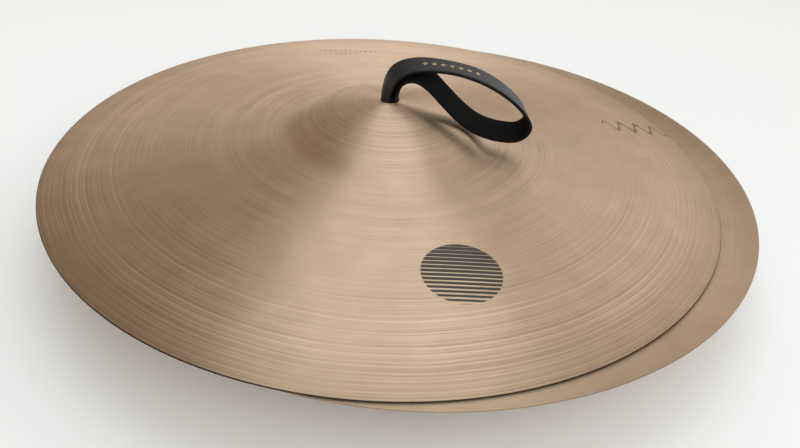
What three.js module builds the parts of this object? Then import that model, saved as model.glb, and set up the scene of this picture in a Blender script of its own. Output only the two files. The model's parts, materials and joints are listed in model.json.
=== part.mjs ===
// A pair of 20 inch hand cymbals laid face to face, one shifted sideways, each with a leather hand strap.
//
// Millimetres, +Z up. The origin is under the middle of the pair, on the surface that it stands on.
// X runs along the shift: the lower cymbal sits towards +X and the upper one towards -X.
import * as THREE from 'three';

// ---- Driving dimensions -------------------------------------------------------------------------

// Cymbal
const RIM_RADIUS = 254;
const BOW_RISE = 20.8; // from the rim up to where the bow would meet the axis
const BOW_POWER = 2.4;
const BELL_RADIUS = 77.5;
const BELL_RISE = 25.7; // from the bow up to the crown of the bell
const BELL_POWER = 2.6;
const BELL_FILLET = 5; // softness of the hollow where the bell meets the bow
const HOLE_RADIUS = 7;
const EDGE_THICKNESS = 1.2;
const CROWN_THICKNESS = 2;
const LATHE_STEPS = 72;
const PROFILE_RADII = [
  HOLE_RADIUS, 26, 44, 58, 68, 75, 81, 92, 120, 150, 180, 208, 232, RIM_RADIUS,
];

// How the pair lies
const SHIFT = 24.5; // sideways distance between the two axes
const TOUCH_GAP = 0.5; // left where metal rests on metal

// Leather strap
const LEATHER = 2.6;
const STRAP_WIDTH = 22;
const NECK_WIDTH = 12; // squeezed to pass through the hole
const LEG_WIDTH = 15.5; // where the upper loop stands on the crown
const PLY_GAP = 0.3; // between the two runs where they lie face to face
const HINGE_RISE = 4.5; // the strap bends this far outside the crown
const LEG_START = 2.2; // where the moving part of the strap begins
const FOLD_LENGTH = 30; // from the hole to where the pressed lower strap can bend again
const FOLD_GAP = 3.5; // room for that bend
const NECK_TOP = 0.4;
const KNOT_SIDE = 27;
const KNOT_CORNER = 6;
const KNOT_TOP = -3.2; // measured from the crown's outer face, negative towards the hollow side
const KNOT_DEPTH = 8.4;
const TAIL_WIDTH = 9;
const TAIL_GAP = 0.3;
const TAIL_OFFSET = 4.8; // each tail leaves off-centre, as the thongs of a square knot do
const LOOP_AZIMUTH = THREE.MathUtils.degToRad(4); // the way the upper loop leans, from +X towards +Y
const NECK_TWIST = 24; // degrees that the strap is turned where it enters the hole

// ---- Derived places -----------------------------------------------------------------------------

const PLY_PITCH = LEATHER + PLY_GAP;
const CROWN_HEIGHT = outerHeight(0);
const LOWER_RIM_Z = HINGE_RISE + PLY_PITCH / 2 + LEATHER / 2 + CROWN_HEIGHT;

// ---- Materials ----------------------------------------------------------------------------------

const bronze = new THREE.MeshStandardMaterial({ color: 0xb39a7c, metalness: 1, roughness: 0.35 });
const leather = new THREE.MeshStandardMaterial({ color: 0x1b1a1a, metalness: 0, roughness: 0.55 });

// ---- Cymbal -------------------------------------------------------------------------------------

// Height of the outer (struck) side above the plane of the rim.
function outerHeight(radius) {
  const bow = BOW_RISE * (1 - (radius / RIM_RADIUS) ** BOW_POWER);
  const dome = BELL_RISE * (1 - (radius / BELL_RADIUS) ** BELL_POWER);
  return bow + (dome + Math.hypot(dome, BELL_FILLET)) / 2;
}

function innerHeight(radius) {
  const inward = 1 - radius / RIM_RADIUS;
  return outerHeight(radius) - EDGE_THICKNESS - (CROWN_THICKNESS - EDGE_THICKNESS) * inward;
}

function cymbalGeometry() {
  const inner = PROFILE_RADII.map((radius) => new THREE.Vector2(radius, innerHeight(radius)));
  const outer = PROFILE_RADII.map((radius) => new THREE.Vector2(radius, outerHeight(radius)));
  const profile = [...inner, ...outer.reverse(), inner[0]];
  return new THREE.LatheGeometry(profile, LATHE_STEPS).rotateX(Math.PI / 2);
}

// ---- Strap --------------------------------------------------------------------------------------

// A flat strap: a rectangular section carried along a smooth route. Each stop of the route gives the
// centre of the strap, its width, and the roll about its own length, in degrees. Unrolled, the width
// lies along `across`.
function strapGeometry(stops, across, stepsPerStop, thickness = LEATHER) {
  const route = new THREE.CatmullRomCurve3(stops.map((stop) => stop.at), false, 'centripetal');
  const spans = stops.length - 1;
  const steps = spans * stepsPerStop;
  const positions = [];
  for (let step = 0; step <= steps; step += 1) {
    const t = step / steps;
    const span = Math.min(Math.floor(t * spans), spans - 1);
    const part = t * spans - span;
    const width = THREE.MathUtils.lerp(stops[span].width, stops[span + 1].width, part);
    const roll = THREE.MathUtils.lerp(stops[span].roll, stops[span + 1].roll, part);
    const along = route.getTangent(t);
    const wide = across.clone().addScaledVector(along, -across.dot(along)).normalize();
    wide.applyAxisAngle(along, THREE.MathUtils.degToRad(roll));
    const thick = new THREE.Vector3().crossVectors(along, wide);
    const centre = route.getPoint(t);
    for (const [side, face] of [[-1, -1], [1, -1], [1, 1], [-1, 1]]) {
      const corner = centre.clone();
      corner.addScaledVector(wide, (side * width) / 2);
      corner.addScaledVector(thick, (face * thickness) / 2);
      positions.push(corner.x, corner.y, corner.z);
    }
  }
  const indices = [0, 2, 1, 0, 3, 2];
  for (let step = 0; step < steps; step += 1) {
    for (let side = 0; side < 4; side += 1) {
      const a = step * 4 + side;
      const b = step * 4 + ((side + 1) % 4);
      indices.push(a, b, b + 4, a, b + 4, a + 4);
    }
  }
  const end = steps * 4;
  indices.push(end, end + 1, end + 2, end, end + 2, end + 3);
  const geometry = new THREE.BufferGeometry();
  geometry.setAttribute('position', new THREE.Float32BufferAttribute(positions, 3));
  geometry.setIndex(indices);
  return geometry;
}

function stop(u, side, rise, width = STRAP_WIDTH, roll = 0) {
  return { at: new THREE.Vector3(u, side, rise), width, roll };
}

// The upper loop stands up out of the hole, arches over and comes to rest just above the bow. Seen
// from the side: u along the loop, rise above the crown. The two legs lie face to face.
function archedLoopGeometry() {
  const turn = THREE.MathUtils.degToRad(NECK_TWIST);
  const legU = (Math.cos(turn) * PLY_PITCH) / 2;
  const legSide = (Math.sin(turn) * PLY_PITCH) / 2;
  const stops = [
    stop(-legU, -legSide, LEG_START, LEG_WIDTH, NECK_TWIST),
    stop(-legU, -legSide, 8, 16, NECK_TWIST),
    stop(2.4, 0, 20.3, STRAP_WIDTH, 18),
    stop(20.9, 0, 29.4, STRAP_WIDTH, 6),
    stop(43, 0, 29.9),
    stop(65.5, 0, 25.6),
    stop(86.2, 0, 15.5, STRAP_WIDTH, -3),
    stop(100.2, 0, 3.6, STRAP_WIDTH, -6),
    stop(105.6, 0, -7.5, STRAP_WIDTH, -11),
    stop(99.4, 0, -15.2, STRAP_WIDTH, -15),
    stop(84.6, 0, -16.6, STRAP_WIDTH, -17),
    stop(67.7, 0, -12.6, STRAP_WIDTH, -17),
    stop(54.3, 0, -4.2, STRAP_WIDTH, -17),
    stop(42.4, 0, 6.4, STRAP_WIDTH, -16),
    stop(29.4, 0, 16.6, STRAP_WIDTH, -16),
    stop(19, 0, 20.6, STRAP_WIDTH, -17),
    stop(9.5, 0, 18.6, 20, -20),
    stop(legU + 1.2, legSide, 9, 16, -NECK_TWIST),
    stop(legU, legSide, LEG_START, LEG_WIDTH, -NECK_TWIST),
  ];
  return strapGeometry(stops, new THREE.Vector3(0, 1, 0), 2);
}

// The lower strap is folded flat under the bell. Its first stretch carries the pair: both plies bend
// over as they leave the hole and lie on the ground, pressed together.
function foldGeometry() {
  const foot = NECK_TOP + 0.9; // the straight start, clear of the neck
  const bend = HINGE_RISE - foot;
  const stops = [stop(0, 0, NECK_TOP + TAIL_GAP, NECK_WIDTH), stop(0, 0, foot, NECK_WIDTH)];
  for (const degrees of [30, 60, 90]) {
    const turn = THREE.MathUtils.degToRad(degrees);
    const side = bend * (Math.cos(turn) - 1);
    stops.push(stop(side, 0, foot + bend * Math.sin(turn), NECK_WIDTH + degrees / 30));
  }
  stops.push(stop(-10, 0, HINGE_RISE, 19));
  stops.push(stop(-18, 0, HINGE_RISE));
  stops.push(stop(FOLD_GAP - FOLD_LENGTH, 0, HINGE_RISE));
  return strapGeometry(stops, new THREE.Vector3(0, 1, 0), 2, 2 * LEATHER + PLY_GAP);
}

// The rest of the lower loop: one run lies on the ground, the other springs up a little under the dome.
function flattenedLoopGeometry() {
  const near = HINGE_RISE - PLY_PITCH / 2;
  const far = HINGE_RISE + PLY_PITCH / 2;
  const start = LEG_START - HINGE_RISE - FOLD_LENGTH;
  const stops = [
    stop(start, 0, near),
    stop(-44, 0, near - 2.2),
    stop(-56, 0, near - 6.2),
    stop(-72, 0, near - 10.4),
    stop(-94, 0, near - 12.4),
    stop(-116, 0, near - 10.6),
    stop(-127.5, 0, near - 6.6),
    stop(-129.5, 0, near - 1.6),
    stop(-123, 0, far - 1.2),
    stop(-112, 0, far - 0.05),
    stop(-100, 0, far),
    stop(-80, 0, far),
    stop(-56, 0, far),
    stop(start, 0, far),
  ];
  return strapGeometry(stops, new THREE.Vector3(0, 1, 0), 2);
}

function neckGeometry() {
  const thickness = 2 * LEATHER + PLY_GAP;
  const length = NECK_TOP - KNOT_TOP - TAIL_GAP;
  const block = new THREE.BoxGeometry(thickness, NECK_WIDTH, length);
  return block.translate(0, 0, NECK_TOP - length / 2);
}

function knotGeometry() {
  const half = KNOT_SIDE / 2;
  const flat = half - KNOT_CORNER;
  const outline = new THREE.Shape();
  outline.moveTo(-flat, -half);
  outline.absarc(flat, -flat, KNOT_CORNER, -Math.PI / 2, 0);
  outline.absarc(flat, flat, KNOT_CORNER, 0, Math.PI / 2);
  outline.absarc(-flat, flat, KNOT_CORNER, Math.PI / 2, Math.PI);
  outline.absarc(-flat, -flat, KNOT_CORNER, Math.PI, 1.5 * Math.PI);
  const options = { depth: KNOT_DEPTH, bevelEnabled: false, curveSegments: 4 };
  const block = new THREE.ExtrudeGeometry(outline, options);
  return block.translate(0, 0, KNOT_TOP - KNOT_DEPTH);
}

// A tail leaves the side of the knot and ends `length` out, `drop` further into the hollow.
function tailGeometry(length, drop) {
  const start = KNOT_SIDE / 2 + TAIL_GAP;
  const rise = KNOT_TOP - KNOT_DEPTH / 2;
  const stops = [0, 0.25, 0.5, 0.75, 1].map((part) => (
    stop(start + part * length, TAIL_OFFSET, rise - drop * part ** 1.6, TAIL_WIDTH)
  ));
  return strapGeometry(stops, new THREE.Vector3(0, 1, 0), 2);
}

function named(name, geometry, material) {
  const mesh = new THREE.Mesh(geometry, material);
  mesh.name = name;
  return mesh;
}

// One strap, built around the hole with its origin on the crown's outer face.
function strap(place, loopGeometry, loopAzimuth, twist, tailLength, tailDrop) {
  const group = new THREE.Group();
  const loop = named(`strap_loop_${place}`, loopGeometry, leather);
  loop.rotation.z = loopAzimuth;
  const fastening = new THREE.Group();
  fastening.rotation.z = loopAzimuth + THREE.MathUtils.degToRad(twist);
  fastening.add(named(`strap_neck_${place}`, neckGeometry(), leather));
  fastening.add(named(`strap_knot_${place}`, knotGeometry(), leather));
  for (let quarter = 0; quarter < 4; quarter += 1) {
    const name = `strap_tail_${place}_${quarter + 1}`;
    const tail = named(name, tailGeometry(tailLength, tailDrop), leather);
    tail.rotation.z = (quarter * Math.PI) / 2;
    fastening.add(tail);
  }
  group.add(loop, fastening);
  group.position.z = CROWN_HEIGHT;
  return group;
}

// ---- The pair -----------------------------------------------------------------------------------

// The lower cymbal lies on its bell, hollow side up, over its folded strap.
const lower = new THREE.Group();
const lowerStrap = strap('lower', flattenedLoopGeometry(), 0, 0, 42, 8);
lowerStrap.add(named('strap_fold_lower', foldGeometry(), leather));
lower.add(named('cymbal_lower', cymbalGeometry(), bronze), lowerStrap);
lower.rotation.x = Math.PI;
lower.position.set(SHIFT / 2, 0, LOWER_RIM_Z);

// The upper cymbal rests on the lower rim where the two circles cross, and its +X edge dips into the
// lower bowl until it touches. That fixes its tilt.
const dip = innerHeight(RIM_RADIUS - SHIFT) - innerHeight(RIM_RADIUS);
const tilt = Math.atan2(dip, RIM_RADIUS - SHIFT / 2);
const crossingZ = LOWER_RIM_Z + EDGE_THICKNESS + TOUCH_GAP;
const crossing = new THREE.Vector3(SHIFT / 2, 0, -EDGE_THICKNESS);
crossing.applyAxisAngle(new THREE.Vector3(0, 1, 0), tilt);
const upper = new THREE.Group();
upper.add(named('cymbal_upper', cymbalGeometry(), bronze));
upper.add(strap('upper', archedLoopGeometry(), LOOP_AZIMUTH, NECK_TWIST, 42, 17));
upper.rotation.y = tilt;
upper.position.set(-crossing.x, 0, crossingZ - crossing.z);

const pair = new THREE.Group();
pair.add(lower, upper);

export default pair;
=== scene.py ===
"""A pair of 20 inch bronze hand cymbals, laid face to face, each with a black leather hand strap.

Everything is in metres in the CAD row's frame. The two cymbals and the two straps are alike, so each is
built once in its own frame, whose origin is at the crown of the bell with +Z pointing out of the bell, and
then placed at the crown of its cymbal.
"""

import json
import math

import bpy
import numpy as np
from mathutils import Matrix, Vector


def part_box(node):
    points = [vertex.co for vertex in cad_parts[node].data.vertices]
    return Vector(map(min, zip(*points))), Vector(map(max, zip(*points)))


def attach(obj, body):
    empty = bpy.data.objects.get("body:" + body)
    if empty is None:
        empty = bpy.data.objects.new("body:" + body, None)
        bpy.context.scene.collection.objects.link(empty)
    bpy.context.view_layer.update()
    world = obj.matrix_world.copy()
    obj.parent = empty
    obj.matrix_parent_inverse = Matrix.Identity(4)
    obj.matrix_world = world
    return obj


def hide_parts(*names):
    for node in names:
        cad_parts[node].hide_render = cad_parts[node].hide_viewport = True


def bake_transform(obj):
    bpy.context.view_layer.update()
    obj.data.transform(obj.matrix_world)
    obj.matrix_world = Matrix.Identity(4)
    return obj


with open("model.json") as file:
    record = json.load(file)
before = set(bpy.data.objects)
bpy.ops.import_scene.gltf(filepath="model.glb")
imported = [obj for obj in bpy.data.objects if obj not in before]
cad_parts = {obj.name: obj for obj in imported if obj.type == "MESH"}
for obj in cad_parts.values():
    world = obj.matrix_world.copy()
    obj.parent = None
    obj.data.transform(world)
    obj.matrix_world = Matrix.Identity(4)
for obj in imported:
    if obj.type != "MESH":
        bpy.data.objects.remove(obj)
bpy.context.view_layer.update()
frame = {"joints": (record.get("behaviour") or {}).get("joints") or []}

MM = 0.001
JOINTS = {joint["name"]: joint for joint in frame["joints"]}

# ---- Sizes, in millimetres ----------------------------------------------------------------------

lower_low, lower_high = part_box("cymbal_lower")
RIM_RADIUS = (lower_high.x - lower_low.x) / 2 / MM
BOW_RISE = 20.8
BOW_POWER = 2.4
BELL_RADIUS = 77.5
BELL_RISE = 25.7
BELL_POWER = 2.6
BELL_FILLET = 5.0
HOLE_RADIUS = 7.0
EDGE_THICKNESS = 1.2
CROWN_THICKNESS = 2.0

LEATHER = 2.6
STRAP_WIDTH = 22.0
NECK_WIDTH = 12.0
# In the hole, each end of the upper strap curls round this circle
CURL_RADIUS = 5.3
CURLED_WIDTH = 12.8
PLY_PITCH = 2.9
HINGE_RISE = 4.5
THONG_WIDTH = 9.0
THONG_THICKNESS = 2.4
UPPER_TAIL_DROP = 17.0
LOWER_TAIL_DROP = 8.0
LEATHER_BEVEL = 0.8
LOOP_AZIMUTH = 4.0
NECK_TWIST = 24.0

# The marks' places: how far the middle is from the axis, its azimuth, and the way that the mark points.
DISC_PLACE = (170.5, -63.4, 13.0)
DISC_RADIUS = 24.9
STRIPE_PITCH = 3.3
WAVE_PLACE = (224.0, 26.0, 22.0)
WAVE_HALF_LENGTH = 31.0
WAVE_HEIGHT = 7.5
DOTS_PLACE = (189.0, 113.6, 12.0)
# Each row of dots: how far it is from the middle, its pitch, its half length and a dot's half width
DOT_ROWS = ((4.5, 5.0, 31.0, 1.3), (-5.5, 4.0, 12.0, 1.0))
# The stamped diamonds: their pitch, and where along the strap they start and end
DIAMOND_PITCH = 6.5
DIAMOND_ROW = (46.0, 92.0)

# How finely the meshes are cut
RADIAL_STEPS = 215
UNDER_STEPS = 96
ROUND_STEPS = 288
EDGE_STEPS = 5
STRAP_SPACING = 1.0
FLAT_STEPS = 17


# ---- Shape of a cymbal --------------------------------------------------------------------------

def outer_height(radius):
    """Height of the struck side above the rim's plane."""
    bow = BOW_RISE * (1 - (radius / RIM_RADIUS) ** BOW_POWER)
    dome = BELL_RISE * (1 - (radius / BELL_RADIUS) ** BELL_POWER)
    return bow + (dome + np.hypot(dome, BELL_FILLET)) / 2


def thickness(radius):
    """Thickness of the bronze, which thins from the crown to the edge."""
    return EDGE_THICKNESS + (CROWN_THICKNESS - EDGE_THICKNESS) * (1 - radius / RIM_RADIUS)


CROWN_HEIGHT = float(outer_height(0.0))


def smooth_noise(x, step, seed):
    """Seeded noise between -1 and 1 that changes over about `step`."""
    values = np.random.default_rng(seed).uniform(-1, 1, 4096)
    cell = np.floor(x / step).astype(int)
    part = x / step - cell
    part = part * part * (3 - 2 * part)
    return values[cell % 4096] * (1 - part) + values[(cell + 1) % 4096] * part


def lathe_marks(radius, seed):
    """Ridges that the lathe tool leaves, as a height."""
    broad = 0.035 * smooth_noise(radius, 6.5, seed)
    middle = 0.018 * smooth_noise(radius, 3.1, seed + 1)
    return broad + middle


def hammer_marks(radius, angle, seed):
    """Depth of the hammer's shallow dimples, which lie in uneven rings over the bow."""
    rng = np.random.default_rng(seed)
    x, y = radius * np.cos(angle), radius * np.sin(angle)
    depth = np.zeros(np.broadcast(radius, angle).shape)
    for ring in np.arange(96.0, 246.0, 13.0):
        count = int(ring / 3.1)  # the blows of a ring are about 20 mm apart
        for k in range(count):
            at = 2 * math.pi * (k + rng.uniform(-0.35, 0.35)) / count
            far = ring + rng.uniform(-5, 5)
            size = rng.uniform(6.0, 10.0)
            deep = rng.uniform(0.01, 0.055)
            away = ((x - far * math.cos(at)) ** 2 + (y - far * math.sin(at)) ** 2) / size ** 2
            depth += np.where(away < 6, deep * np.exp(-away), 0)
    return depth


def rounded_lip(radius, top, bottom, outward):
    """Half circle of points that joins the two faces at a lip."""
    middle, half = (top + bottom) / 2, (top - bottom) / 2
    turns = np.linspace(math.pi / 2, -math.pi / 2, EDGE_STEPS + 2)[1:-1]
    return radius + outward * half * (np.cos(turns) - 1) * 0.8, middle + half * np.sin(turns)


def cymbal_mesh(name, seed, lip_shade):
    """One closed shell. Rings run from the hole outwards over the top, round the edge and back.

    Attributes say where a point is: 1 on the struck side, and how much painted shade darkens the outer lip.
    """
    angle = np.linspace(0, 2 * math.pi, ROUND_STEPS, endpoint=False)[None, :]
    top_r = np.linspace(HOLE_RADIUS + 0.5, RIM_RADIUS - 0.5, RADIAL_STEPS)[:, None]
    under_r = np.linspace(RIM_RADIUS - 0.5, HOLE_RADIUS + 0.5, UNDER_STEPS)[:, None]
    flat_out = np.clip((RIM_RADIUS - top_r) / 4, 0, 1)
    top_z = outer_height(top_r) + flat_out * lathe_marks(top_r, seed)
    top_z = top_z - flat_out * hammer_marks(top_r, angle, seed + 20)
    under_z = outer_height(under_r) - thickness(under_r) + 0.5 * lathe_marks(under_r, seed + 9)
    under_z = under_z + np.zeros_like(angle)
    lip_r, lip_z = rounded_lip(
        RIM_RADIUS, float(outer_height(RIM_RADIUS)), -EDGE_THICKNESS, 1)
    crown = float(outer_height(HOLE_RADIUS))
    hole_r, hole_z = rounded_lip(HOLE_RADIUS, crown, crown - CROWN_THICKNESS, -1)
    shape = (EDGE_STEPS, ROUND_STEPS)
    radii = np.vstack([
        np.broadcast_to(top_r, (RADIAL_STEPS, ROUND_STEPS)),
        np.broadcast_to(lip_r[:, None], shape),
        np.broadcast_to(under_r, (UNDER_STEPS, ROUND_STEPS)),
        np.broadcast_to(hole_r[::-1, None], shape),
    ])
    heights = np.vstack([
        top_z,
        np.broadcast_to(lip_z[:, None], shape),
        under_z,
        np.broadcast_to(hole_z[::-1, None], shape),
    ])
    points = np.stack([radii * np.cos(angle), radii * np.sin(angle), heights - CROWN_HEIGHT], -1)
    rings = len(radii)
    cymbal = ring_mesh(name, points.reshape(-1, 3), rings, ROUND_STEPS, closed=True)
    struck = np.zeros((rings, ROUND_STEPS))
    struck[:RADIAL_STEPS] = 1
    add_attribute(cymbal, "struck_side", struck)
    # Painted shade: the outer lip is darkened, fully on the upper cymbal and less on the lower, to stand in
    # for the shadowed gap under the upper cymbal's edge.
    lip = np.zeros((rings, ROUND_STEPS))
    lip[RADIAL_STEPS:RADIAL_STEPS + EDGE_STEPS] = lip_shade
    add_attribute(cymbal, "lip", lip)
    return cymbal


def ring_mesh(name, points, rings, around, closed):
    """Skin over rings of points, in millimetres. A closed row of rings joins up; an open one gets caps."""
    last = rings if closed else rings - 1
    ring, side = np.meshgrid(np.arange(last), np.arange(around), indexing="ij")
    next_ring, next_side = (ring + 1) % rings, (side + 1) % around
    corners = [ring * around + side, next_ring * around + side,
               next_ring * around + next_side, ring * around + next_side]
    faces = [tuple(face) for face in np.stack(corners, -1).reshape(-1, 4).tolist()]
    if not closed:
        faces.append(tuple(range(around)))
        faces.append(tuple(range((rings - 1) * around, rings * around))[::-1])
    mesh = bpy.data.meshes.new(name)
    mesh.from_pydata((points * MM).tolist(), [], faces)
    mesh.polygons.foreach_set("use_smooth", [True] * len(mesh.polygons))
    mesh.update()
    piece = bpy.data.objects.new(name, mesh)
    bpy.context.scene.collection.objects.link(piece)
    return piece


def add_attribute(piece, name, values):
    """Store one number per point, for a material to read."""
    attribute = piece.data.attributes.new(name, "FLOAT", "POINT")
    attribute.data.foreach_set("value", np.asarray(values, np.float32).ravel())


# ---- Shape of a strap ---------------------------------------------------------------------------

def smooth_route(stops):
    """Centripetal Catmull-Rom curve through the stops. Width, roll and curl are carried along."""
    stops = np.array(stops, float)
    padded = np.vstack([2 * stops[0] - stops[1], stops, 2 * stops[-1] - stops[-2]])
    route = []
    for k in range(len(stops) - 1):
        p0, p1, p2, p3 = padded[k:k + 4]
        t1 = np.linalg.norm((p1 - p0)[:3]) ** 0.5
        t2 = t1 + np.linalg.norm((p2 - p1)[:3]) ** 0.5
        t3 = t2 + np.linalg.norm((p3 - p2)[:3]) ** 0.5
        count = max(2, int(np.linalg.norm((p2 - p1)[:3]) / STRAP_SPACING))
        for t in np.linspace(t1, t2, count, endpoint=False):
            a1 = (t1 - t) / t1 * p0 + t / t1 * p1
            a2 = (t2 - t) / (t2 - t1) * p1 + (t - t1) / (t2 - t1) * p2
            a3 = (t3 - t) / (t3 - t2) * p2 + (t - t2) / (t3 - t2) * p3
            b1 = (t2 - t) / t2 * a1 + t / t2 * a2
            b2 = (t3 - t) / (t3 - t1) * a2 + (t - t1) / (t3 - t1) * a3
            route.append((t2 - t) / (t2 - t1) * b1 + (t - t1) / (t2 - t1) * b2)
    route.append(stops[-1])
    return np.array(route)


def strap_outline():
    """Points round a strap's section as (flat, round out, round up, face): see strap_mesh."""
    flats = np.linspace(-1, 1, FLAT_STEPS)
    turns = np.radians([15, 45, 75])
    outline = [(flat, 0, 0, -1) for flat in flats]
    outline += [(1, math.cos(turn), -math.sin(turn), -1) for turn in turns[::-1]]
    outline += [(1, math.cos(turn), math.sin(turn), 1) for turn in turns]
    outline += [(flat, 0, 0, 1) for flat in flats[::-1]]
    outline += [(-1, -math.cos(turn), math.sin(turn), 1) for turn in turns[::-1]]
    outline += [(-1, -math.cos(turn), -math.sin(turn), -1) for turn in turns]
    return np.array(outline, float)


def strap_mesh(name, stops, leather=LEATHER):
    """A leather strap along a route. Each stop is (u, side, rise, width, roll, curl), angles in degrees.

    Curl bends the strap's section into an arc of that angle, hollow on the flesh side, and may be left out.
    Its grain side is the outside of a loop. Attributes say where a point is on the strap: millimetres
    along it, from -1 to 1 across it, and 1 on the grain side, -1 on the flesh side.
    """
    route = smooth_route([(*stop, 0.0)[:6] for stop in stops])
    centre, width = route[:, :3], route[:, 3]
    roll, curl = np.radians(route[:, 4]), np.radians(route[:, 5])
    along = np.gradient(centre, axis=0)
    along /= np.linalg.norm(along, axis=1)[:, None]
    wide = np.array([0.0, 1.0, 0.0]) - along * along[:, 1:2]
    wide /= np.linalg.norm(wide, axis=1)[:, None]
    thick = np.cross(along, wide)
    wide, thick = (np.cos(roll)[:, None] * wide + np.sin(roll)[:, None] * thick,
                   np.cos(roll)[:, None] * thick - np.sin(roll)[:, None] * wide)
    outline = strap_outline()
    flat, out, up, face = outline.T
    across = flat[None, :] * (width[:, None] / 2 - LEATHER_BEVEL) + out[None, :] * LEATHER_BEVEL
    level = face * (leather / 2 - LEATHER_BEVEL * (out != 0)) + up * LEATHER_BEVEL
    through = np.broadcast_to(level, across.shape)
    bow = (width / np.maximum(curl, 0.001))[:, None]
    aside = (bow + through) * np.sin(across / bow)
    above = (bow + through) * np.cos(across / bow) - bow
    points = (centre[:, None, :] + aside[:, :, None] * wide[:, None, :]
              + above[:, :, None] * thick[:, None, :])
    strap = ring_mesh(name, points.reshape(-1, 3), len(route), len(outline), closed=False)
    steps = np.linalg.norm(np.diff(centre, axis=0), axis=1)
    length = np.concatenate([[0], np.cumsum(steps)])
    add_attribute(strap, "along_mm", np.broadcast_to(length[:, None], across.shape))
    add_attribute(strap, "across", across / (width[:, None] / 2))
    add_attribute(strap, "grain_side", through / (leather / 2))
    return strap


TWIST = math.radians(NECK_TWIST)
FOOT_U = math.cos(TWIST) * CURL_RADIUS
FOOT_SIDE = math.sin(TWIST) * CURL_RADIUS
FULL_CURL = math.degrees(CURLED_WIDTH / CURL_RADIUS)

# The upper loop: (u, side, rise, width, roll, curl). Its two feet curl up to fill the hole. It stands up
# out of the hole, arches over, comes down to just above the bow and returns under itself.
ARCHED_LOOP = [
    (-FOOT_U, -FOOT_SIDE, -1.6, CURLED_WIDTH, NECK_TWIST, FULL_CURL),
    (-FOOT_U, -FOOT_SIDE, 1.4, CURLED_WIDTH, NECK_TWIST, FULL_CURL),
    (-4.6, -1.9, 6, 15.5, NECK_TWIST, 95),
    (-2.4, -0.8, 12.5, 19.5, 22, 40),
    (2.4, 0, 20.3, STRAP_WIDTH, 18, 10),
    (10.4, 0, 26.2, STRAP_WIDTH, 11, 0),
    (20.9, 0, 29.4, STRAP_WIDTH, 6, 0),
    (43, 0, 29.9, STRAP_WIDTH, 0, 0),
    (65.5, 0, 25.6, STRAP_WIDTH, 0, 0),
    (86.2, 0, 15.5, STRAP_WIDTH, -3, 0),
    (100.2, 0, 3.6, STRAP_WIDTH, -6, 0),
    (105.6, 0, -7.5, STRAP_WIDTH, -11, 0),
    (99.4, 0, -15.2, STRAP_WIDTH, -15, 0),
    (84.6, 0, -16.6, STRAP_WIDTH, -17, 0),
    (67.7, 0, -12.6, STRAP_WIDTH, -17, 0),
    (54.3, 0, -4.2, STRAP_WIDTH, -17, 0),
    (42.4, 0, 6.4, STRAP_WIDTH, -16, 0),
    (29.4, 0, 18.2, STRAP_WIDTH, -16, 0),
    (20, 0, 22.9, STRAP_WIDTH, -17, 0),
    (12.4, 0, 21.8, 21, -19, 10),
    (7.2, 0.8, 16.5, 18.5, -22, 40),
    (5.4, 1.9, 8, 15.5, -NECK_TWIST, 90),
    (FOOT_U, FOOT_SIDE, 1.4, CURLED_WIDTH, -NECK_TWIST, FULL_CURL),
    (FOOT_U, FOOT_SIDE, -1.6, CURLED_WIDTH, -NECK_TWIST, FULL_CURL),
]


def folded_ply(side):
    """Stops of one ply of the lower strap, from inside the hole to where it lies flat."""
    foot = 1.3
    bend = HINGE_RISE - foot + side * PLY_PITCH / 2
    middle = foot - HINGE_RISE
    ply = [(middle + bend, 0, -1.6, NECK_WIDTH, 0), (middle + bend, 0, foot, NECK_WIDTH, 0)]
    for degrees in (30, 60, 90):
        turn = math.radians(degrees)
        ply.append((middle + bend * math.cos(turn), 0, foot + bend * math.sin(turn),
                    NECK_WIDTH + degrees / 30, 0))
    for u, width in ((-10, 19), (-18, STRAP_WIDTH), (-27, STRAP_WIDTH)):
        ply.append((u, 0, foot + bend, width, 0))
    return ply


# The lower loop is pressed flat. NEAR and FAR are its plies' heights above the crown. Past the fold the
# ply nearer to the bell springs back under the dome.
NEAR = HINGE_RISE - PLY_PITCH / 2
FAR = HINGE_RISE + PLY_PITCH / 2
FLATTENED_LOOP = [
    *folded_ply(-1),
    (-33, 0, NEAR, STRAP_WIDTH, 0),
    (-44, 0, NEAR - 2.2, STRAP_WIDTH, 0),
    (-56, 0, NEAR - 6.2, STRAP_WIDTH, 0),
    (-72, 0, NEAR - 10.4, STRAP_WIDTH, 0),
    (-94, 0, NEAR - 12.4, STRAP_WIDTH, 0),
    (-116, 0, NEAR - 10.6, STRAP_WIDTH, 0),
    (-127.5, 0, NEAR - 6.6, STRAP_WIDTH, 0),
    (-129.5, 0, NEAR - 1.6, STRAP_WIDTH, 0),
    (-123, 0, FAR - 1.2, STRAP_WIDTH, 0),
    (-112, 0, FAR - 0.05, STRAP_WIDTH, 0),
    (-100, 0, FAR, STRAP_WIDTH, 0),
    (-80, 0, FAR, STRAP_WIDTH, 0),
    (-56, 0, FAR, STRAP_WIDTH, 0),
    (-33, 0, FAR, STRAP_WIDTH, 0),
    *folded_ply(1)[::-1],
]


def thong_stops(drop):
    """One of the four ends of a strap: out of the hole, round the knot and out as a loose tail."""
    stops = [
        (-1.5, 3.0, 0.4, 5.5, 0), (-1.6, 3.2, -2.6, 6.5, 0), (-5.0, 4.4, -4.6, 8, 0),
        (-10.5, 4.8, -4.6, THONG_WIDTH, 0), (-13.6, 4.8, -7.2, THONG_WIDTH, 0),
        (-10.8, 4.8, -10.0, THONG_WIDTH, 0), (-4.8, 4.8, -10.3, THONG_WIDTH, 0),
        (0, 4.8, -9.2, THONG_WIDTH, 0), (4.8, 4.8, -7.6, THONG_WIDTH, 0),
        (10.0, 4.8, -7.2, THONG_WIDTH, 0), (14.0, 4.8, -7.4, THONG_WIDTH, 0),
    ]
    for part in (0.25, 0.5, 0.75, 1.0):
        stops.append((14 + 42 * part, 4.8, -7.4 - drop * part ** 1.6, THONG_WIDTH, 0))
    return stops


# ---- Finishes -----------------------------------------------------------------------------------

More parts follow.
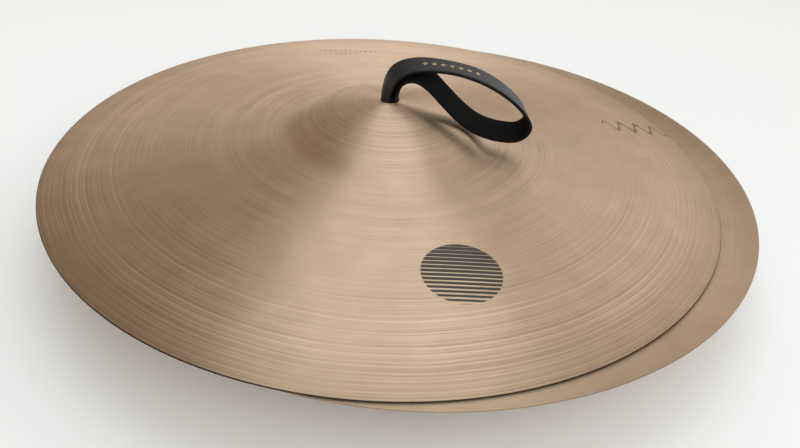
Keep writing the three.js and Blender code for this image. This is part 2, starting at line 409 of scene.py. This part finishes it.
def set_input(tree, socket, value):
    if isinstance(value, bpy.types.NodeSocket):
        tree.links.new(value, socket)
    else:
        socket.default_value = value


def add_node(tree, kind, inputs=(), output=0, **settings):
    node = tree.nodes.new(kind)
    for key, value in settings.items():
        setattr(node, key, value)
    for key, value in dict(inputs).items():
        set_input(tree, node.inputs[key], value)
    return node.outputs[output]


def calc(tree, operation, *values):
    return add_node(tree, "ShaderNodeMath", enumerate(values), operation=operation)


def noise(tree, where, scale, detail=2.0, dimensions="1D", roughness=0.5):
    place = {"W": where} if dimensions == "1D" else {"Vector": where}
    return add_node(tree, "ShaderNodeTexNoise",
                    {**place, "Scale": scale, "Detail": detail, "Roughness": roughness},
                    noise_dimensions=dimensions)


def remap(tree, value, low, high, to_low, to_high):
    return add_node(tree, "ShaderNodeMapRange",
                    {0: value, 1: low, 2: high, 3: to_low, 4: to_high})


def mix_colour(tree, factor, first, second):
    return add_node(tree, "ShaderNodeMix", {0: factor, 6: first, 7: second}, output=2,
                    data_type="RGBA")


def material(name):
    made = bpy.data.materials.new(name)
    made.use_nodes = True
    tree = made.node_tree
    return made, tree, tree.nodes["Principled BSDF"]


def attribute(tree, name):
    return add_node(tree, "ShaderNodeAttribute", output=2, attribute_name=name)


def inside(tree, value, half_width, softness):
    """1 where value is nearer to 0 than half_width."""
    return remap(tree, calc(tree, "ABSOLUTE", value), half_width - softness, half_width + softness, 1, 0)


def local_axes(tree, x, y, place):
    """Coordinates along and across a mark at a place on the cymbal."""
    radius, azimuth, heading = place
    cos_h, sin_h = math.cos(math.radians(heading)), math.sin(math.radians(heading))
    at_x = radius * math.cos(math.radians(azimuth))
    at_y = radius * math.sin(math.radians(azimuth))
    dx, dy = calc(tree, "SUBTRACT", x, at_x), calc(tree, "SUBTRACT", y, at_y)
    along = calc(tree, "ADD", calc(tree, "MULTIPLY", dx, cos_h), calc(tree, "MULTIPLY", dy, sin_h))
    up = calc(tree, "SUBTRACT", calc(tree, "MULTIPLY", dy, cos_h), calc(tree, "MULTIPLY", dx, sin_h))
    return along, up


def bronze_material():
    """Turned bronze: rings of lighter and darker metal, browner at the rim, with a streaked gloss."""
    made, tree, shader = material("turned_bronze")
    place = add_node(tree, "ShaderNodeTexCoord", output=3)
    axes = tree.nodes.new("ShaderNodeSeparateXYZ")
    tree.links.new(place, axes.inputs[0])
    x = calc(tree, "MULTIPLY", axes.outputs[0], 1 / MM)
    y = calc(tree, "MULTIPLY", axes.outputs[1], 1 / MM)
    radius = calc(tree, "SQRT", calc(tree, "ADD", calc(tree, "MULTIPLY", x, x),
                                     calc(tree, "MULTIPLY", y, y)))
    # The rings waver, more so towards the rim.
    waver = noise(tree, place, 14.0, 2.0, "3D")
    outward = remap(tree, radius, 60.0, 254.0, 0.3, 3.2)
    wavy = calc(tree, "MULTIPLY_ADD", calc(tree, "SUBTRACT", waver, 0.5), outward, radius)
    broad = noise(tree, wavy, 0.12, 2.0)
    fine = noise(tree, wavy, 0.6, 3.0, roughness=0.6)
    groove = noise(tree, radius, 1.7, 1.0)
    rings = calc(tree, "MULTIPLY_ADD", broad, 0.4, calc(tree, "MULTIPLY", fine, 0.6))
    tool_path = calc(tree, "SUBTRACT", noise(tree, wavy, 0.72, 0.0), 0.5)
    rings = calc(tree, "MULTIPLY_ADD", tool_path, remap(tree, radius, 165.0, 225.0, 0.0, 0.38), rings)
    # They are stronger in some patches and on the struck side. Towards -Y they are also stronger as painted
    # light, standing in for the gloss fan that shows the rings up more on that side.
    struck = attribute(tree, "struck_side")
    patches = remap(tree, noise(tree, place, 13.0, 2.0, "3D"), 0.36, 0.64, 0.8, 2.5)
    patches = calc(tree, "MULTIPLY", patches, remap(tree, struck, 0.0, 1.0, 0.35, 1.0))
    patches = calc(tree, "MULTIPLY", patches, remap(tree, y, -230.0, 160.0, 1.4, 0.7))
    mottle = noise(tree, place, 42.0, 3.0, "3D", 0.6)
    tone = calc(tree, "MULTIPLY_ADD", calc(tree, "SUBTRACT", rings, 0.5), patches,
                calc(tree, "MULTIPLY_ADD", mottle, 0.7, 0.15))
    metal = mix_colour(tree, tone, (0.500, 0.359, 0.247, 1), (0.735, 0.550, 0.402, 1))
    toward_rim = remap(tree, radius, 222.0, 252.0, 0.0, 0.30)
    metal = mix_colour(tree, toward_rim, metal, (0.26, 0.17, 0.105, 1))
    # Painted shade: the lip is darkened to near black, standing in for the shadowed gap under the upper
    # cymbal's edge.
    metal = mix_colour(tree, attribute(tree, "lip"), metal, (0.055, 0.040, 0.027, 1))
    ink = marks(tree, x, y)
    colour = mix_colour(tree, ink["black"], metal, (0.030, 0.026, 0.022, 1))
    colour = mix_colour(tree, ink["grey"], colour, (0.27, 0.21, 0.165, 1))
    colour = mix_colour(tree, ink["gold"], colour, (0.21, 0.130, 0.048, 1))
    tree.links.new(colour, shader.inputs["Base Color"])
    # Ink is duller than the metal.
    printed = calc(tree, "MAXIMUM", ink["black"], ink["gold"])
    rough = remap(tree, calc(tree, "MULTIPLY_ADD", fine, 0.5, calc(tree, "MULTIPLY", broad, 0.5)),
                  0.3, 0.7, 0.43, 0.50)
    rough = calc(tree, "MULTIPLY_ADD", printed, 0.12, rough)
    tree.links.new(rough, shader.inputs["Roughness"])
    tree.links.new(calc(tree, "MULTIPLY_ADD", printed, -0.75, 1.0), shader.inputs["Metallic"])
    # The grooves run round the axis, so the gloss streaks out from it.
    shader.inputs["Anisotropic"].default_value = 0.98
    shader.inputs["Anisotropic Rotation"].default_value = 0.25
    tangent = tree.nodes.new("ShaderNodeTangent")
    tangent.direction_type = "RADIAL"
    tangent.axis = "Z"
    tree.links.new(tangent.outputs[0], shader.inputs["Tangent"])
    ridges = calc(tree, "MULTIPLY_ADD", fine, 0.6, calc(tree, "MULTIPLY", groove, 0.4))
    bump = add_node(tree, "ShaderNodeBump", {"Height": ridges, "Strength": 0.35, "Distance": 0.0001})
    tree.links.new(bump, shader.inputs["Normal"])
    return made


def marks(tree, x, y):
    """Masks of the plain marks on the struck side: a striped disc, a wave and two rows of dots."""
    struck = remap(tree, attribute(tree, "struck_side"), 0.4, 0.6, 0, 1)
    along, up = local_axes(tree, x, y, DISC_PLACE)
    reach = calc(tree, "SQRT", calc(tree, "ADD", calc(tree, "MULTIPLY", along, along),
                                    calc(tree, "MULTIPLY", up, up)))
    # The disc's stripes are thin at its near edge and thick at its far edge.
    disc = remap(tree, reach, DISC_RADIUS - 0.3, DISC_RADIUS + 0.3, 1, 0)
    stripe = calc(tree, "FRACT", calc(tree, "MULTIPLY", calc(tree, "ADD", up, 60.0), 1 / STRIPE_PITCH))
    from_middle = calc(tree, "ABSOLUTE", calc(tree, "MULTIPLY_ADD", stripe, 2.0, -1.0))
    filled = remap(tree, up, -25.0, 25.0, 0.50, 0.94)
    edge = calc(tree, "SUBTRACT", filled, from_middle)
    black = calc(tree, "MULTIPLY", disc, remap(tree, edge, -0.08, 0.08, 0, 0.94))
    along, up = local_axes(tree, x, y, WAVE_PLACE)
    wave = calc(tree, "MULTIPLY", calc(tree, "SINE", calc(tree, "MULTIPLY", along, 0.40)), WAVE_HEIGHT)
    # The wave's stroke swells and thins along it, like a broad pen's.
    swell = calc(tree, "COSINE", calc(tree, "MULTIPLY", along, 0.10))
    stroke = calc(tree, "MULTIPLY_ADD", swell, 0.7, 2.0)
    distance = calc(tree, "DIVIDE", calc(tree, "ABSOLUTE", calc(tree, "SUBTRACT", up, wave)), stroke)
    gold = calc(tree, "MULTIPLY", remap(tree, distance, 1.0, 1.6, 0.85, 0),
                inside(tree, along, WAVE_HALF_LENGTH, 1.0))
    along, up = local_axes(tree, x, y, DOTS_PLACE)
    grey = 0.0
    for row, pitch, half_length, size in DOT_ROWS:
        steps = calc(tree, "MULTIPLY", calc(tree, "ADD", along, 200.0), 1 / pitch)
        cell = calc(tree, "SUBTRACT", calc(tree, "FRACT", steps), 0.5)
        dot = calc(tree, "MULTIPLY", inside(tree, cell, size / pitch, 0.06),
                   inside(tree, calc(tree, "SUBTRACT", up, row), size * 1.4, 0.4))
        dot = calc(tree, "MULTIPLY", dot, inside(tree, along, half_length, 0.5))
        grey = calc(tree, "MAXIMUM", dot, grey)
    found = {"black": black, "gold": gold, "grey": calc(tree, "MULTIPLY", grey, 0.85)}
    return {name: calc(tree, "MULTIPLY", mask, struck) for name, mask in found.items()}


def leather_material(name, ornament):
    """Black strap leather, duller on the flesh side. ornament is where gold diamonds run along it."""
    made, tree, shader = material(name)
    along = attribute(tree, "along_mm")
    across = attribute(tree, "across")
    grain = remap(tree, attribute(tree, "grain_side"), 0.0, 0.8, 0, 1)
    where = tree.nodes.new("ShaderNodeCombineXYZ")
    tree.links.new(along, where.inputs[0])
    tree.links.new(calc(tree, "MULTIPLY", across, 11.0), where.inputs[1])
    tree.links.new(calc(tree, "MULTIPLY", grain, 40.0), where.inputs[2])
    pores = noise(tree, where.outputs[0], 1.6, 3.0, "3D", 0.6)
    patches = noise(tree, where.outputs[0], 0.09, 3.0, "3D")
    smooth = mix_colour(tree, patches, (0.012, 0.0115, 0.012, 1), (0.023, 0.022, 0.023, 1))
    suede = mix_colour(tree, patches, (0.0022, 0.0021, 0.0020, 1), (0.0045, 0.0043, 0.0041, 1))
    colour = mix_colour(tree, grain, suede, smooth)
    rough = remap(tree, grain, 0, 1, 0.9, 0.42)
    shader.inputs["Specular IOR Level"].default_value = 0.16
    if ornament:
        start, end = ornament
        middle = calc(tree, "SUBTRACT", along, (start + end) / 2)
        steps = calc(tree, "MULTIPLY", along, 1 / DIAMOND_PITCH)
        cell = calc(tree, "SUBTRACT", calc(tree, "FRACT", steps), 0.5)
        size = calc(tree, "ADD", calc(tree, "ABSOLUTE", calc(tree, "MULTIPLY", cell, DIAMOND_PITCH)),
                    calc(tree, "ABSOLUTE", calc(tree, "MULTIPLY", across, 9.0)))
        foil = remap(tree, size, 1.7, 2.3, 1, 0)
        foil = calc(tree, "MULTIPLY", foil, inside(tree, middle, (end - start) / 2, 0.1))
        foil = calc(tree, "MULTIPLY", foil, remap(tree, grain, 0.9, 1.0, 0, 0.85))
        colour = mix_colour(tree, foil, colour, (0.42, 0.33, 0.16, 1))
        tree.links.new(calc(tree, "MULTIPLY", foil, 0.7), shader.inputs["Metallic"])
    tree.links.new(colour, shader.inputs["Base Color"])
    tree.links.new(rough, shader.inputs["Roughness"])
    bump = add_node(tree, "ShaderNodeBump", {"Height": pores, "Strength": 0.4, "Distance": 0.00012})
    tree.links.new(bump, shader.inputs["Normal"])
    return made


# ---- The pair -----------------------------------------------------------------------------------

def crown_frame(origin, outward):
    """Matrix of a crown's own frame: +Z out of the bell, +X as near the row's +X as it can be."""
    z = Vector(outward).normalized()
    x = (Vector((1, 0, 0)) - z * z.x).normalized()
    y = z.cross(x)
    axes = Matrix((x, y, z)).transposed().to_4x4()
    return Matrix.Translation(Vector(origin)) @ axes


def turn(degrees):
    return Matrix.Rotation(math.radians(degrees), 4, "Z")


swivel = JOINTS["upper_strap_swivel"]
upper_frame = crown_frame(swivel["pos_m"], swivel["axis"])
lower_crown = Vector((
    (lower_low.x + lower_high.x) / 2,
    0,
    lower_high.z - (EDGE_THICKNESS + CROWN_HEIGHT) * MM,
))
lower_frame = crown_frame(lower_crown, (0, 0, -1))

BRONZE = bronze_material()
UPPER_LEATHER = leather_material("black_leather_stamped", DIAMOND_ROW)
LOWER_LEATHER = leather_material("black_leather", None)


def finish_piece(piece, look):
    piece.data.materials.append(look)


def build_cymbal(place, body, matrix, seed, lip_shade):
    cymbal = cymbal_mesh(f"bronze_shell_{place}", seed, lip_shade)
    finish_piece(cymbal, BRONZE)
    cymbal.matrix_world = matrix
    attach(cymbal, body)
    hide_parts(f"cymbal_{place}")


def build_strap(place, route, matrix, knot_body, look, twist, drop, nodes):
    """A strap and its four thongs, which are knotted inside the bell."""
    strap = strap_mesh(f"hand_strap_{place}", route)
    finish_piece(strap, look)
    strap.matrix_world = matrix
    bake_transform(strap)
    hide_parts(*nodes)
    for quarter in range(4):
        thong = strap_mesh(f"knot_thong_{place}_{quarter + 1}", thong_stops(drop), THONG_THICKNESS)
        finish_piece(thong, LOWER_LEATHER)
        thong.matrix_world = matrix @ turn(twist + 90 * quarter)
        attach(thong, knot_body)
        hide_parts(f"strap_tail_{place}_{quarter + 1}")
        if quarter == 0:
            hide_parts(f"strap_knot_{place}")


# The last number says how strongly each cymbal's lip is darkened as painted shade.
build_cymbal("upper", "upper_cymbal", upper_frame, 3, 1.0)
build_cymbal("lower", "lower_cymbal", lower_frame, 53, 0.3)
build_strap("upper", ARCHED_LOOP, upper_frame @ turn(LOOP_AZIMUTH), "upper_knot",
            UPPER_LEATHER, NECK_TWIST, UPPER_TAIL_DROP,
            ("strap_loop_upper", "strap_neck_upper"))
build_strap("lower", FLATTENED_LOOP, lower_frame, "lower_cymbal",
            LOWER_LEATHER, 0.0, LOWER_TAIL_DROP,
            ("strap_loop_lower", "strap_fold_lower", "strap_neck_lower"))


# ---- Floor, light and camera --------------------------------------------------------------------

def plane(name, size, place, look):
    """A flat sheet of the stage."""
    half = size / 2
    mesh = bpy.data.meshes.new(name)
    mesh.from_pydata([(-half, -half, 0), (half, -half, 0), (half, half, 0), (-half, half, 0)],
                     [], [(0, 1, 2, 3)])
    sheet = bpy.data.objects.new(name, mesh)
    sheet.location = place
    sheet.data.materials.append(look)
    bpy.context.scene.collection.objects.link(sheet)


floor_look, floor_tree, floor_shader = material("pale_floor")
floor_shader.inputs["Base Color"].default_value = (0.97, 0.97, 0.97, 1)
floor_shader.inputs["Roughness"].default_value = 0.9
plane("floor", 8.0, (0, 0, -0.0006), floor_look)

LAMP_COLOUR = (0.82, 0.94, 1.0)
VIEW_AZIMUTH = 9.9
rig = turn(VIEW_AZIMUTH)  # the lights and the camera are turned together


def softbox(name, place, aim, width, height, power):
    """A rectangular lamp that points at a place."""
    lamp = bpy.data.lights.new(name, "AREA")
    lamp.shape = "RECTANGLE"
    lamp.size, lamp.size_y = width, height
    lamp.energy = power
    lamp.color = LAMP_COLOUR
    box = bpy.data.objects.new(name, lamp)
    box.location = place
    box.rotation_euler = (Vector(aim) - Vector(place)).to_track_quat("-Z", "Y").to_euler()
    bpy.context.scene.collection.objects.link(box)


def soft_room():
    """A pale room, dimmer and browner low on the left, and dimmer overhead and at the back's left."""
    world = bpy.data.worlds.new("soft_room")
    world.use_nodes = True
    tree = world.node_tree
    toward = add_node(tree, "ShaderNodeTexCoord")

    def part_along(direction):
        return add_node(tree, "ShaderNodeVectorMath", {0: toward, 1: tuple(direction)}, output=1,
                        operation="DOT_PRODUCT")

    right = part_along(rig @ Vector((0.95, 0, 0.3)))
    up = part_along(Vector((0, 0, 1)))
    back = part_along(rig @ Vector((-0.26, 0.966, 0)))
    side = add_node(tree, "ShaderNodeMapRange", {0: right, 1: -0.50, 2: 0.12, 3: 0.0, 4: 1.0},
                    interpolation_type="SMOOTHSTEP")
    colour = mix_colour(tree, side, (0.38, 0.298, 0.212, 1), (1.20, 1.18, 1.14, 1))
    strength = calc(tree, "MULTIPLY", remap(tree, up, 0.2, 0.85, 1.0, 0.62),
                    remap(tree, back, 0.85, 0.97, 1.0, 0.30))
    tree.links.new(colour, tree.nodes["Background"].inputs[0])
    tree.links.new(strength, tree.nodes["Background"].inputs[1])
    bpy.context.scene.world = world


soft_room()
bpy.context.scene.view_settings.view_transform = "Standard"

softbox("top_softbox", rig @ Vector((0, 0.35, 1.85)), (0, 0, 0.06), 1.5, 1.2, 6.4)
softbox("front_softbox", rig @ Vector((0.1, -1.5, 1.5)), (0, 0, 0.0), 3.2, 1.2, 13.5)

# The camera looks down on the pair from the front. The angles are turns of its own axes.
VIEW_DISTANCE = 558.8 * MM
VIEW_ELEVATION = 29.073
PAN, TILT, ROLL = 1.45, 5.739, -3.518
LENS = 31.336

rim_centre = upper_frame @ turn(VIEW_AZIMUTH) @ Matrix.Translation((0, 0, -CROWN_HEIGHT * MM))
stand = Matrix.Rotation(math.radians(-VIEW_ELEVATION), 4, "X") @ Matrix.Translation((0, -VIEW_DISTANCE, 0))
facing = (Matrix.Rotation(math.radians(90), 4, "X") @ Matrix.Rotation(math.radians(-PAN), 4, "Y")
          @ Matrix.Rotation(math.radians(-TILT), 4, "X") @ Matrix.Rotation(math.radians(-ROLL), 4, "Z"))
lens = bpy.data.cameras.new("camera")
lens.lens = LENS
lens.sensor_width = 36.0
lens.clip_start = 0.01
camera = bpy.data.objects.new("camera", lens)
camera.matrix_world = rim_centre @ stand @ facing
bpy.context.scene.collection.objects.link(camera)
bpy.context.scene.camera = camera

bpy.context.view_layer.update()
